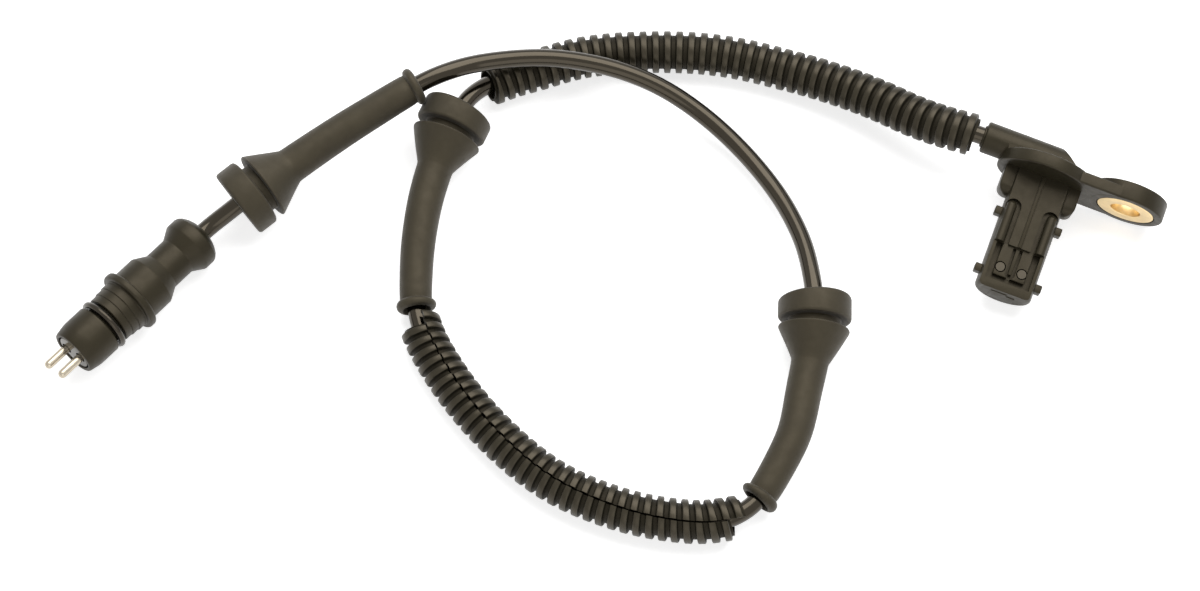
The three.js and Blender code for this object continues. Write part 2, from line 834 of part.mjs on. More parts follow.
function conduit(name, { start, rings, slitAngle, slitTurn }) {
  const outlineAt = (radius, middle) => {
    const arc = (r, count, sense) => {
      const half = conduitSlit / 2 / r;
      const points = [];
      for (let i = 0; i <= count; i += 1) {
        const share = sense > 0 ? i / count : 1 - i / count;
        points.push([r, middle + half + share * (2 * Math.PI - 2 * half)]);
      }
      return points;
    };
    return [...arc(radius, conduitOuterSides, 1), ...arc(conduitBoreRadius, conduitBoreSides, -1)];
  };
  const foot = conduitTroughShare / 2;
  const crest = foot + conduitFlankShare;
  const steps = [
    [foot, conduitTroughRadius],
    [crest, conduitCrestRadius],
    [1 - crest, conduitCrestRadius],
    [1 - foot, conduitTroughRadius],
  ];
  const loops = [];
  for (let ring = 0; ring < rings; ring += 1) {
    for (const [share, radius] of steps) {
      const turn = slitAngle + (slitTurn * (ring + share)) / rings;
      const place = conduitPlace(start + (ring + share) * conduitPitch);
      loops.push(outlineAt(radius, turn).map(([r, a]) => onCord(place, r, a)));
    }
  }
  const cap = outlineAt(conduitTroughRadius, slitAngle)
    .map(([r, a]) => new THREE.Vector2(r * Math.cos(a), r * Math.sin(a)));
  return piece(name, skin(loops, cap), conduitPlastic);
}

// Grommet heads, as distances from the boss's mouth
const frontGrommetAt = 159.5;
const middleGrommetAt = 400.8;
const rearGrommetAt = 612.3;

const sensor = new THREE.Group();
sensor.add(
  head,
  plug,
  cableJacket(),
  conduit('conduit_long', longConduit),
  conduit('conduit_short', shortConduit),
  grommet('grommet_front', frontGrommetAt, 1),
  grommet('grommet_middle', middleGrommetAt, -1),
  grommet('grommet_rear', rearGrommetAt, -1),
);

export default sensor;
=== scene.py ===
"""Wheel speed sensor for anti-lock brakes, with its cable, split conduits, rubber grommets and plug."""

import math

import bpy
from bpy.props import FloatProperty, FloatVectorProperty, IntProperty, PointerProperty
from bpy.types import Operator, Panel, PropertyGroup
from mathutils import Matrix, Vector


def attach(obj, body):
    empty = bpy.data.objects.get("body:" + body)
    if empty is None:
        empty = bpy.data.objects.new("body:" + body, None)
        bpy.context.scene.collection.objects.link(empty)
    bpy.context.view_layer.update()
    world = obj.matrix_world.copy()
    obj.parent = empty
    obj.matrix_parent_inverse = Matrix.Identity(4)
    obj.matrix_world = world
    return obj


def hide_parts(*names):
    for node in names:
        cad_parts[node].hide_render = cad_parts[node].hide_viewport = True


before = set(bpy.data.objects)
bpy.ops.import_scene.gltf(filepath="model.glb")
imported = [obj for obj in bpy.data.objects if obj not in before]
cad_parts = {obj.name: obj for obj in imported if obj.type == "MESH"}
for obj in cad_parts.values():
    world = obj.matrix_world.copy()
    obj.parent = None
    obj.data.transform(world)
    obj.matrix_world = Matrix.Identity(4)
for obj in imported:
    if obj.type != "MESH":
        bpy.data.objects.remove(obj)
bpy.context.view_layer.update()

bl_info = {
    "name": "Wheel speed sensor",
    "version": (1, 0, 0),
    "blender": (4, 5, 0),
    "location": "View3D > Sidebar > Sensor",
    "description": "Builds a wheel speed sensor with its cable, grommets and plug",
    "category": "Add Mesh",
}

MM = 0.001

# Head's rest pose: it lies on the rims of its seat disc and ear, and on the tip of its nose
HEAD = (
    Matrix.Translation((-0.007079, 0.012375, 0.013192))
    @ Matrix.Rotation(0.159907, 4, "X")
    @ Matrix.Rotation(0.116933, 4, "Y")
)

# Plug's rest pose, with its axis along +X and its cable mouth at the origin before it is turned
PLUG = (
    Matrix.Translation((-0.2177, -0.0819, 0.007573))
    @ Matrix.Rotation(-1.935, 4, "Z")
    @ Matrix.Rotation(-0.060381, 4, "Y")
)

# Places in the head's own frame, in millimetres: the ear's hole along +X, and the boss's mouth
EAR_REACH = 24
BOSS_REACH = 19
BOSS_HEIGHT = 5.8

# Cable's axis from the boss to the plug
ROUTE = [
    (-0.0355, 0.0175, 0.016),
    (-0.0459, 0.0188, 0.0136),
    (-0.0573, 0.0213, 0.0112),
    (-0.0707, 0.0229, 0.009),
    (-0.0867, 0.023, 0.0072),
    (-0.1043, 0.0208, 0.0061),
    (-0.1213, 0.0155, 0.0056),
    (-0.1393, 0.007, 0.0053),
    (-0.1514, -0.0025, 0.0054),
    (-0.1568, -0.0066, 0.006),
    (-0.161, -0.0115, 0.008),
    (-0.1641, -0.0189, 0.0107),
    (-0.1647, -0.0224, 0.0109),
    (-0.1653, -0.0313, 0.01),
    (-0.165, -0.0416, 0.0091),
    (-0.164, -0.0509, 0.0083),
    (-0.1617, -0.0616, 0.0073),
    (-0.1592, -0.0697, 0.0066),
    (-0.153, -0.084, 0.0055),
    (-0.1405, -0.096, 0.005),
    (-0.122, -0.1075, 0.005),
    (-0.1015, -0.115, 0.005),
    (-0.0805, -0.116, 0.005),
    (-0.0646, -0.1131, 0.005),
    (-0.0589, -0.111, 0.005),
    (-0.0549, -0.1086, 0.0051),
    (-0.0518, -0.1053, 0.0052),
    (-0.0492, -0.101, 0.0055),
    (-0.048, -0.0955, 0.006),
    (-0.0469, -0.0879, 0.0066),
    (-0.0462, -0.0794, 0.0074),
    (-0.048, -0.0673, 0.0083),
    (-0.0491, -0.0594, 0.009),
    (-0.0508, -0.0519, 0.0098),
    (-0.0533, -0.0435, 0.0108),
    (-0.0552, -0.0394, 0.0109),
    (-0.0585, -0.0332, 0.0102),
    (-0.0631, -0.0259, 0.0086),
    (-0.0737, -0.0144, 0.0058),
    (-0.0887, -0.0041, 0.005),
    (-0.1033, 0.0018, 0.0069),
    (-0.1169, 0.0037, 0.0107),
    (-0.131, 0.0023, 0.0144),
    (-0.148, -0.0021, 0.016),
    (-0.1652, -0.0113, 0.017),
    (-0.1719, -0.0175, 0.0181),
    (-0.1757, -0.0214, 0.0179),
    (-0.1859, -0.034, 0.0156),
    (-0.1927, -0.0428, 0.0139),
    (-0.2013, -0.0549, 0.0117),
    (-0.2056, -0.0618, 0.0111),
    (-0.2102, -0.0696, 0.0104),
    (-0.214, -0.0755, 0.0088),
]
CABLE_IN_BOSS = 8.6 * MM
CABLE_IN_PLUG = 18 * MM
BOSS_MOUTH = (-BOSS_REACH * MM, BOSS_HEIGHT * MM, 0)
CORD_STRAIGHT = 3 * MM
CORD_SMOOTHING = 14

# Each grommet's name, where its head's face is along the cord in millimetres, and its sleeve's side
GROMMETS = [("front", 159.4, 1), ("middle", 400.7, -1), ("rear", 612.4, -1)]

# Where each conduit starts along the cord
CONDUIT_LONG_AT = 2.6 * MM
CONDUIT_SHORT_AT = 223.8 * MM

# Angle of a conduit's slit, and how many millimetres of its far end stay straight
CONDUIT_SLIT = math.radians(5)
CONDUIT_STRAIGHT = 6


def linear(hex_colour):
    """Linear red, green, blue and alpha of an sRGB hex colour."""
    channels = [int(hex_colour[i : i + 2], 16) / 255 for i in (0, 2, 4)]
    return (*(c / 12.92 if c <= 0.04045 else ((c + 0.055) / 1.055) ** 2.4 for c in channels), 1.0)


def length_setting(name, description, default):
    return FloatProperty(
        name=name,
        description=description,
        default=default,
        min=0,
        precision=5,
        unit="LENGTH",
        subtype="DISTANCE",
    )


def count_setting(name, description, default):
    return IntProperty(name=name, description=description, default=default, min=2)


def colour_setting(name, description, hex_colour):
    return FloatVectorProperty(
        name=name,
        description=description,
        default=linear(hex_colour),
        size=4,
        min=0,
        max=1,
        subtype="COLOR",
    )


class SensorSizes(PropertyGroup):
    """Sizes of the sensor that a user would change."""

    cable_diameter: length_setting("Cable diameter", "Outer diameter of the cable", 0.005)
    conduit_pitch: length_setting("Conduit pitch", "Distance from ring to ring of a split conduit", 0.00333)
    conduit_crest: length_setting("Conduit crest", "Radius over the rings of the split conduits", 0.0059)
    conduit_trough: length_setting("Conduit trough", "Radius between the rings of the split conduits", 0.0047)
    conduit_wall: length_setting("Conduit wall", "Thickness of the conduits' wall", 0.0006)
    grommet_length: length_setting("Grommet length", "Length of a grommet over head and sleeve", 0.06)
    grommet_head: length_setting("Grommet head", "Radius of a grommet's head", 0.01)
    sleeve_radius: length_setting("Grommet sleeve", "Radius of a grommet's sleeve next to its cone", 0.00505)
    seat_radius: length_setting("Seat radius", "Radius of the disc that the head is seated on", 0.0133)
    nose_radius: length_setting("Nose radius", "Radius of the sensing nose", 0.00795)
    nose_length: length_setting("Nose length", "Length of the nose from the seat plane to its tip", 0.0347)
    bush_radius: length_setting("Bush radius", "Outer radius of the brass bush", 0.008)
    bolt_hole: length_setting("Bolt hole", "Radius of the hole through the bush", 0.0042)
    flange_radius: length_setting("Plug flange", "Radius of the plug's flange", 0.00915)
    pin_radius: length_setting("Pin radius", "Radius of a contact pin", 0.0012)
    rings_long: count_setting("Long conduit rings", "Rings of the conduit next to the head", 43)
    rings_short: count_setting("Short conduit rings", "Rings of the conduit in the loop", 33)


class SensorFinish(PropertyGroup):
    """Colours of the sensor's materials and the level of the light."""

    nylon: colour_setting("Nylon", "Colour of the head and the plug", "221f15")
    rubber: colour_setting("Rubber", "Colour of the grommets", "2b271c")
    conduit: colour_setting("Conduit", "Colour of the split conduits", "1d1b13")
    sheath: colour_setting("Cable sheath", "Colour of the cable's sheath", "0a0906")
    seal: colour_setting("Seal", "Colour of the plug's seal ring", "100f0e")
    brass: colour_setting("Brass", "Colour of the bush", "e6cd9c")
    nickel: colour_setting("Nickel", "Colour of the contact pins", "b8ae9c")
    light: FloatProperty(
        name="Light",
        description="Factor on the power of all lamps",
        default=1.0,
        min=0,
        max=4,
        subtype="FACTOR",
    )


# Modelling tools


def only(obj):
    """Selects this object alone and makes it the active one."""
    bpy.ops.object.select_all(action="DESELECT")
    obj.select_set(True)
    bpy.context.view_layer.objects.active = obj
    return obj


def added(name):
    """Names the primitive that was just added and fixes its place in its mesh."""
    obj = only(bpy.context.active_object)
    obj.name = name
    obj.data.name = name
    bpy.ops.object.transform_apply(location=True, rotation=True, scale=True)
    return obj


def settle(obj, matrix):
    """Moves and turns a piece, with its place kept in its mesh."""
    only(obj)
    obj.matrix_world = matrix
    bpy.ops.object.transform_apply(location=True, rotation=True, scale=True)
    return obj


def finish(obj, kind, **settings):
    """Adds a modifier of that kind and applies it."""
    only(obj)
    modifier = obj.modifiers.new(kind.lower(), kind)
    for key, value in settings.items():
        setattr(modifier, key, value)
    bpy.ops.object.modifier_apply(modifier=modifier.name)
    return obj


def bevel(obj, width, angle=32, segments=3):
    """Rounds every edge that is sharper than the angle, by a width in millimetres."""
    sharp = math.radians(angle)
    return finish(obj, "BEVEL", width=width * MM, segments=segments, limit_method="ANGLE", angle_limit=sharp)


def smooth(obj, angle=32):
    """Shades smoothly across every edge that is flatter than the angle."""
    only(obj)
    bpy.ops.object.shade_smooth_by_angle(angle=math.radians(angle))
    return obj


def boolean(obj, other, operation):
    """Joins or cuts a piece with another one, which is used up."""
    finish(obj, "BOOLEAN", operation=operation, object=other, solver="EXACT")
    bpy.data.objects.remove(other, do_unlink=True)
    return obj


def join(obj, *others):
    for other in others:
        boolean(obj, other, "UNION")
    return obj


def cut(obj, *others):
    for other in others:
        boolean(obj, other, "DIFFERENCE")
    return obj


def block(x, y, z, edge=0.0):
    """A box between two corners in millimetres, with rounded edges."""
    middle = [sum(pair) / 2 * MM for pair in (x, y, z)]
    size = [(pair[1] - pair[0]) * MM for pair in (x, y, z)]
    bpy.ops.mesh.primitive_cube_add(size=1, location=middle, scale=size)
    obj = added("block")
    return bevel(obj, edge) if edge else obj


def round_upright_corners(obj, low_y, radius, segments=8):
    """Rounds a block's upright edges on the side below that place along Y, in millimetres."""
    only(obj)
    bpy.ops.object.mode_set(mode="EDIT")
    bpy.ops.mesh.select_all(action="DESELECT")
    bpy.ops.object.mode_set(mode="OBJECT")
    for edge in obj.data.edges:
        a, b = (obj.data.vertices[i].co for i in edge.vertices)
        edge.select = abs(a.x - b.x) < 1e-6 and abs(a.y - b.y) < 1e-6 and a.y < low_y * MM
    bpy.ops.object.mode_set(mode="EDIT")
    bpy.ops.mesh.bevel(offset=radius * MM, segments=segments, affect="EDGES")
    bpy.ops.object.mode_set(mode="OBJECT")
    return obj


# Turns that lay a piece made along Z along each of the axes
ALONG = {
    "X": Matrix.Rotation(math.pi / 2, 4, "Y"),
    "Y": Matrix.Rotation(-math.pi / 2, 4, "X"),
    "Z": Matrix.Identity(4),
}


def turned(profile, axis, at=(0, 0, 0), sides=64, closed=False):
    """A circle drawn out from ring to ring along an axis, by (place, radius) pairs in millimetres."""
    place, radius = profile[0]
    bpy.ops.mesh.primitive_circle_add(vertices=sides, radius=radius * MM, location=(0, 0, place * MM))
    obj = added("turned")
    bpy.ops.object.mode_set(mode="EDIT")
    bpy.ops.mesh.select_mode(type="VERT")
    bpy.ops.mesh.select_all(action="SELECT")
    if not closed:
        bpy.ops.mesh.edge_face_add()
        bpy.ops.mesh.select_all(action="SELECT")
    for next_place, next_radius in profile[1:]:
        step = (0, 0, (next_place - place) * MM)
        bpy.ops.mesh.extrude_edges_move(TRANSFORM_OT_translate={"value": step})
        share = next_radius / radius
        bpy.ops.transform.resize(value=(share, share, 1), center_override=(0, 0, next_place * MM))
        place, radius = next_place, next_radius
    if not closed:
        bpy.ops.mesh.edge_face_add()
    bpy.ops.mesh.select_all(action="SELECT")
    bpy.ops.mesh.remove_doubles(threshold=0.001 * MM)
    bpy.ops.mesh.normals_make_consistent(inside=False)
    bpy.ops.object.mode_set(mode="OBJECT")
    return settle(obj, Matrix.Translation([v * MM for v in at]) @ ALONG[axis])


def rod(radius, axis, start, end, at=(0, 0, 0), edge=0.0, sides=48):
    """A round bar between two places on an axis in millimetres, with rounded edges."""
    obj = turned([(start, radius), (end, radius)], axis, at, sides)
    return bevel(obj, edge) if edge else obj


def arc(centre_place, centre_radius, size, from_degrees, to_degrees, steps=4):
    """Points of a rounded edge of a profile, as (place, radius) pairs."""
    points = []
    for i in range(steps + 1):
        angle = math.radians(from_degrees + (to_degrees - from_degrees) * i / steps)
        points.append((centre_place + size * math.cos(angle), centre_radius + size * math.sin(angle)))
    return points


def dress(obj, name, material, slot, *nodes):
    """Names a finished piece, gives it its material and its body, and hides the nodes it stands for."""
    obj.name = name
    obj.data.name = name
    if material:
        obj.data.materials.append(material)
    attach(obj, "root")
    if nodes:
        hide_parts(*nodes)
    return obj


# Cord's path


def along(points):
    """Distances of the points from the first one."""
    distances = [0.0]
    for a, b in zip(points, points[1:]):
        distances.append(distances[-1] + (b - a).length)
    return distances


def stretch(points, start, end, spacing=1 * MM):
    """Evenly spaced points between two distances from the first point, in either sense."""
    distances = along(points)
    count = max(2, round(abs(end - start) / spacing) + 1)
    result = []
    i = 0 if end > start else len(points) - 2
    for k in range(count):
        at = start + (end - start) * k / (count - 1)
        while i < len(points) - 2 and distances[i + 1] < at:
            i += 1
        while i > 0 and distances[i] > at:
            i -= 1
        share = (at - distances[i]) / (distances[i + 1] - distances[i])
        result.append(points[i].lerp(points[i + 1], share))
    return result


def curve_through(points, steps=12):
    """A smooth curve through the points, whose speed follows the root of their distance."""
    ends = [2 * points[0] - points[1], *points, 2 * points[-1] - points[-2]]
    result = []
    for p0, p1, p2, p3 in zip(ends, ends[1:], ends[2:], ends[3:]):
        d0, d1, d2 = (math.sqrt((b - a).length) for a, b in ((p0, p1), (p1, p2), (p2, p3)))
        m1 = ((p1 - p0) / d0 - (p2 - p0) / (d0 + d1) + (p2 - p1) / d1) * d1
        m2 = ((p2 - p1) / d1 - (p3 - p1) / (d1 + d2) + (p3 - p2) / d2) * d1
        for k in range(steps):
            t = k / steps
            result.append(
                (2 * t**3 - 3 * t**2 + 1) * p1
                + (t**3 - 2 * t**2 + t) * m1
                + (3 * t**2 - 2 * t**3) * p2
                + (t**3 - t**2) * m2
            )
    return result + [points[-1]]


def cord_path():
    """Cable's axis at every millimetre, from its end in the boss to its end in the plug."""
    x, y, z = BOSS_MOUTH
    points = [
        HEAD @ Vector((x + CABLE_IN_BOSS, y, z)),
        HEAD @ Vector((x, y, z)),
        HEAD @ Vector((x - CORD_STRAIGHT, y, z)),
        *map(Vector, ROUTE),
        PLUG @ Vector((-CORD_STRAIGHT, 0, 0)),
        PLUG @ Vector((0, 0, 0)),
        PLUG @ Vector((CABLE_IN_PLUG, 0, 0)),
    ]
    fine = curve_through(points)
    path = stretch(fine, 0, along(fine)[-1])
    for _ in range(CORD_SMOOTHING):
        middle = [p.lerp((a + b) / 2, 0.5) for a, p, b in zip(path, path[1:], path[2:])]
        path = [path[0], *middle, path[-1]]
    return stretch(path, 0, along(path)[-1])


PATH = cord_path()


def guide_curve(points, tilts=(0, 0)):
    """A curve that a straight piece is bent along, with its tilt from end to end in radians."""
    data = bpy.data.curves.new("guide", "CURVE")
    data.dimensions = "3D"
    data.twist_mode = "Z_UP"
    spline = data.splines.new("POLY")
    spline.points.add(len(points) - 1)
    for i, (point, place) in enumerate(zip(spline.points, points)):
        point.co = (*place, 1)
        point.tilt = tilts[0] + (tilts[1] - tilts[0]) * i / (len(points) - 1)
    guide = bpy.data.objects.new("guide", data)
    bpy.context.collection.objects.link(guide)
    return guide


def bend_along(obj, points, tilts=(0, 0)):
    """Bends a piece that was modelled along +X from the origin, so that it follows the points."""
    guide = guide_curve(points, tilts)
    bpy.context.view_layer.update()
    finish(obj, "CURVE", object=guide, deform_axis="POS_X")
    bpy.data.objects.remove(guide, do_unlink=True)
    return obj


# Materials


def node(tree, kind, inputs=None, **settings):
    """Adds a node with its settings. An input is a value, or the socket that it comes from."""
    new = tree.nodes.new(kind)
    for key, value in settings.items():
        setattr(new, key, value)
    for key, value in (inputs or {}).items():
        if isinstance(value, bpy.types.NodeSocket):
            tree.links.new(value, new.inputs[key])
        else:
            new.inputs[key].default_value = value
    return new


def fresh(name):
    """A new material with an empty node tree."""
    material = bpy.data.materials.new(name)
    material.use_nodes = True
    tree = material.node_tree
    tree.nodes.clear()
    return material, tree


def noise(tree, size_mm, detail=3.0, mapping=None):
    """Noise whose blotches are about that size, read from the piece's own coordinates."""
    source = mapping or node(tree, "ShaderNodeTexCoord").outputs["Object"]
    inputs = {"Vector": source, "Scale": 1 / (size_mm * MM), "Detail": detail}
    return node(tree, "ShaderNodeTexNoise", inputs).outputs["Fac"]


def between(tree, factor, low, high):
    """A value that runs from low to high with the factor."""
    inputs = {"Value": factor, "From Min": 0.3, "From Max": 0.7, "To Min": low, "To Max": high}
    return node(tree, "ShaderNodeMapRange", inputs).outputs["Result"]


def tint(tree, factor, dark, light):
    """A colour between two, by the factor."""
    ramp = node(tree, "ShaderNodeValToRGB", {"Fac": factor})
    ramp.color_ramp.elements[0].position = 0.3
    ramp.color_ramp.elements[0].color = dark
    ramp.color_ramp.elements[1].position = 0.7
    ramp.color_ramp.elements[1].color = light
    return ramp.outputs["Color"]


def scaled(colour, factor):
    """A linear colour made darker or lighter."""
    return (*(min(1.0, c * factor) for c in colour[:3]), 1.0)


def surface(material, tree, bump_height, bump_mm, strength, **inputs):
    """Closes a material with its shader and a bump of that depth in millimetres."""
    relief = {"Height": bump_height, "Distance": bump_mm * MM, "Strength": strength}
    bump = node(tree, "ShaderNodeBump", relief)
    named = {key.replace("_", " "): value for key, value in inputs.items()}
    shader = node(tree, "ShaderNodeBsdfPrincipled", {"Normal": bump.outputs["Normal"], **named})
    node(tree, "ShaderNodeOutputMaterial", {"Surface": shader.outputs["BSDF"]})
    return material


# The photograph's warm light, as the tint that black plastics give back
WARM_GLOSS = linear("ffeed2")


def moulded_plastic(name, colour, spread, rough, grain_mm, depth_mm, **inputs):
    """Plastic from a mould: soft flow marks in its colour, and the fine grain of the mould's wall."""
    material, tree = fresh(name)
    flow = noise(tree, 9, detail=2)
    grain = noise(tree, grain_mm, detail=2)
    inputs = {"Specular_IOR_Level": 0.5, "Specular_Tint": WARM_GLOSS, **inputs}
    return surface(
        material,
        tree,
        grain,
        bump_mm=depth_mm,
        strength=1.0,
        Base_Color=tint(tree, flow, scaled(colour, 1 - spread), scaled(colour, 1 + spread)),
        Roughness=between(tree, noise(tree, 2.5, detail=4), rough - 0.05, rough + 0.06),
        **inputs,
    )


def satin_nylon():
    """Injection-moulded nylon: glass fibres break its gloss into a satin, slightly speckled brown black."""
    colour = bpy.context.scene.sensor_finish.nylon
    return moulded_plastic(
        "satin_nylon",
        colour,
        spread=0.22,
        rough=0.42,
        grain_mm=0.45,
        depth_mm=0.012,
        IOR=1.53,
        Specular_IOR_Level=0.3,
    )


def polished_nylon():
    """The same nylon from a polished mould: a shiny face that mirrors the floor when it is seen edge-on."""
    colour = bpy.context.scene.sensor_finish.nylon
    return moulded_plastic(
        "polished_nylon",
        colour,
        spread=0.1,
        rough=0.14,
        grain_mm=0.45,
        depth_mm=0.002,
        IOR=1.53,
    )


def epdm_rubber():
    """Moulded EPDM rubber: matt, with a soft pale bloom and no sharp highlights."""
    colour = bpy.context.scene.sensor_finish.rubber
    return moulded_plastic(
        "epdm_rubber",
        colour,
        spread=0.16,
        rough=0.6,
        grain_mm=0.5,
        depth_mm=0.02,
        IOR=1.5,
        Sheen_Weight=0.12,
        Sheen_Roughness=0.5,
    )


def polypropylene():
    """Extruded and blow-moulded polypropylene: satin, with a soft glint on each ring."""
    colour = bpy.context.scene.sensor_finish.conduit
    return moulded_plastic(
        "polypropylene",
        colour,
        spread=0.14,
        rough=0.36,
        grain_mm=0.6,
        depth_mm=0.008,
        IOR=1.49,
    )


def trough_shade_polypropylene():
    """The same plastic between the rings: duller, with less shine so that no light streak reaches it, and
    darkened as painted shade for the troughs.
    """
    # Painted shade: the conduit's colour at 0.6 stands for the shadow that the crests cast into the troughs
    colour = scaled(bpy.context.scene.sensor_finish.conduit, 0.6)
    return moulded_plastic(
        "trough_shade_polypropylene",
        colour,
        spread=0.14,
        rough=0.6,
        grain_mm=0.6,
        depth_mm=0.008,
        IOR=1.49,
        Specular_IOR_Level=0.25,
    )


def polyurethane_sheath():
    """Extruded polyurethane cable sheath: smooth and glossy, with a long light streak along its back."""
    colour = bpy.context.scene.sensor_finish.sheath
    return moulded_plastic(
        "polyurethane_sheath",
        colour,
        spread=0.1,
        rough=0.13,
        grain_mm=1.2,
        depth_mm=0.003,
        IOR=1.5,
        Specular_IOR_Level=0.6,
    )


def nitrile_rubber():
    """Greased nitrile O-ring: deep black with a wet highlight."""
    colour = bpy.context.scene.sensor_finish.seal
    return moulded_plastic(
        "nitrile_rubber",
        colour,
        spread=0.1,
        rough=0.2,
        grain_mm=0.8,
        depth_mm=0.005,
        IOR=1.52,
    )


def turned_brass():
    """Turned brass bush: a pale yellow metal with a soft ring from the lathe on its faces."""
    material, tree = fresh("turned_brass")
    colour = bpy.context.scene.sensor_finish.brass
    centre = HEAD @ Vector((EAR_REACH * MM, 0, 0))
    own = node(tree, "ShaderNodeTexCoord").outputs["Object"]
    place = {"Vector": own, "Location": centre, "Rotation": HEAD.to_euler("XYZ")}
    moved = node(tree, "ShaderNodeMapping", place, vector_type="TEXTURE").outputs["Vector"]
    # The lathe's finest rings are too small to show, so one broad wave stands for them
    wave_mm = 3.77
    texture_unit = 2 * math.pi / 20
    rings = node(
        tree,
        "ShaderNodeTexWave",
        {"Vector": moved, "Scale": texture_unit / (wave_mm * MM), "Distortion": 0.6, "Detail": 2.0},
        wave_type="RINGS",
        rings_direction="Y",
    ).outputs["Fac"]
    return surface(
        material,
        tree,
        rings,
        bump_mm=0.01,
        strength=0.5,
        Base_Color=tint(tree, noise(tree, 3), scaled(colour, 0.9), scaled(colour, 1.08)),
        Metallic=1.0,
        Roughness=between(tree, noise(tree, 0.8, mapping=moved), 0.3, 0.42),
    )


def metal(name, colour, rough, streak_mm):
    """Bright plated metal: nearly a mirror, with a faint unevenness of its plating."""
    material, tree = fresh(name)
    return surface(
        material,
        tree,
        noise(tree, streak_mm),
        bump_mm=0.004,
        strength=0.6,
        Base_Color=tint(tree, noise(tree, 2), scaled(colour, 0.92), scaled(colour, 1.05)),
        Metallic=1.0,
        Roughness=between(tree, noise(tree, 1.0), rough - 0.04, rough + 0.06),
    )


def nickel_plating():
    """Nickel plating on a copper alloy: a warm mirror with a slight haze."""
    return metal("nickel_plating", bpy.context.scene.sensor_finish.nickel, 0.2, 0.5)


def tin_plating():
    """Tinned copper strip: a greyish, slightly warm metal with a dull shine."""
    return metal("tin_plating", linear("c9b79f"), 0.35, 0.8)


def pbt_plastic():
    """PBT of the inner carrier, whose pegs show in the window: slightly greyer and duller than the nylon."""
    return moulded_plastic(
        "pbt_plastic",
        linear("403c34"),
        spread=0.15,
        rough=0.45,
        grain_mm=0.5,
        depth_mm=0.01,
        IOR=1.53,
    )


def package_epoxy():
    """Epoxy of the chip's package: flat dark grey with a fine matt grain."""
    return moulded_plastic(
        "package_epoxy",
        linear("151515"),
        spread=0.1,
        rough=0.55,
        grain_mm=0.4,
        depth_mm=0.01,
        IOR=1.55,
    )


def red_insulation():
    """Red PVC insulation of one wire: smooth and slightly shiny."""
    return moulded_plastic(
        "red_insulation",
        linear("8c2f26"),
        spread=0.1,
        rough=0.4,
        grain_mm=0.8,
        depth_mm=0.005,
        IOR=1.5,
    )


def white_insulation():
    """White PVC insulation of the other wire: smooth and slightly shiny."""
    return moulded_plastic(
        "white_insulation",
        linear("d8d4ca"),
        spread=0.05,
        rough=0.4,
        grain_mm=0.8,
        depth_mm=0.005,
        IOR=1.5,
    )


def kept(maker):
    """The material that this function makes, made once."""
    found = bpy.data.materials.get(maker.__name__)
    return found or maker()


# Operators


class SensorOperator:
    bl_options = {"REGISTER", "UNDO"}


class SENSOR_OT_camera(SensorOperator, Operator):
    """Adds the camera, looking down on the sensor from the front"""

    bl_idname = "sensor.camera"
    bl_label = "Camera"

    def execute(self, context):
        eye = Vector((0.0335, -0.4379, 0.9135))
        target = Vector((-0.1103, -0.0574, 0))
        bpy.ops.object.camera_add(location=eye, rotation=(target - eye).to_track_quat("-Z", "Y").to_euler())
        camera = context.active_object
        camera.name = "camera"
        camera.data.lens = 109.5
        camera.data.sensor_width = 36
        camera.data.clip_start = 0.01
        context.scene.camera = camera
        return {"FINISHED"}


class SENSOR_OT_cable(SensorOperator, Operator):
    """Lays the cable along its route from the boss to the plug"""

    bl_idname = "sensor.cable"
    bl_label = "Cable"

    def execute(self, context):
        sizes = context.scene.sensor_sizes
        data = bpy.data.curves.new("cable", "CURVE")
        data.dimensions = "3D"
        data.twist_mode = "Z_UP"
        data.bevel_depth = sizes.cable_diameter / 2
        data.bevel_resolution = 6
        data.use_fill_caps = True
        spline = data.splines.new("POLY")
        spline.points.add(len(PATH) - 1)
        for point, place in zip(spline.points, PATH):
            point.co = (*place, 1)
        spline.use_smooth = True
        cable = bpy.data.objects.new("cable", data)
        context.collection.objects.link(cable)
        dress(cable, "cable", kept(polyurethane_sheath), "cable_sheath", "cable_jacket")
        return {"FINISHED"}


def ring_section(pitch, crest, trough):
    """Outline of one ring of a conduit's wall, as (place, radius) pairs in millimetres."""
    return [
        (0, trough),
        (0.16 * pitch, trough),
        (0.2 * pitch, trough + 0.14),
        (0.225 * pitch, crest - 0.28),
        (0.255 * pitch, crest - 0.08),
        (0.31 * pitch, crest),
        (0.5 * pitch, crest - 0.03),
        (0.69 * pitch, crest),
        (0.745 * pitch, crest - 0.08),
        (0.775 * pitch, crest - 0.28),
        (0.8 * pitch, trough + 0.14),
        (0.84 * pitch, trough),
        (pitch, trough),
    ]


def ring_wall(section):
    """One ring of the wall, turned almost all the way round the X axis from its outline."""
    bpy.ops.mesh.primitive_plane_add(size=1 * MM)
    obj = added("conduit")
    bpy.ops.object.mode_set(mode="EDIT")
    bpy.ops.mesh.select_all(action="SELECT")
    bpy.ops.mesh.merge(type="CENTER")
    bpy.ops.transform.translate(value=(section[0][0] * MM, -section[0][1] * MM, 0))
    for (x0, r0), (x1, r1) in zip(section, section[1:]):
        step = ((x1 - x0) * MM, -(r1 - r0) * MM, 0)
        bpy.ops.mesh.extrude_region_move(TRANSFORM_OT_translate={"value": step})
    bpy.ops.object.mode_set(mode="OBJECT")
    angle = 2 * math.pi - CONDUIT_SLIT
    finish(obj, "SCREW", axis="X", angle=angle, steps=46, render_steps=46, use_normal_calculate=True)
    return settle(obj, Matrix.Rotation(CONDUIT_SLIT / 2, 4, "X"))


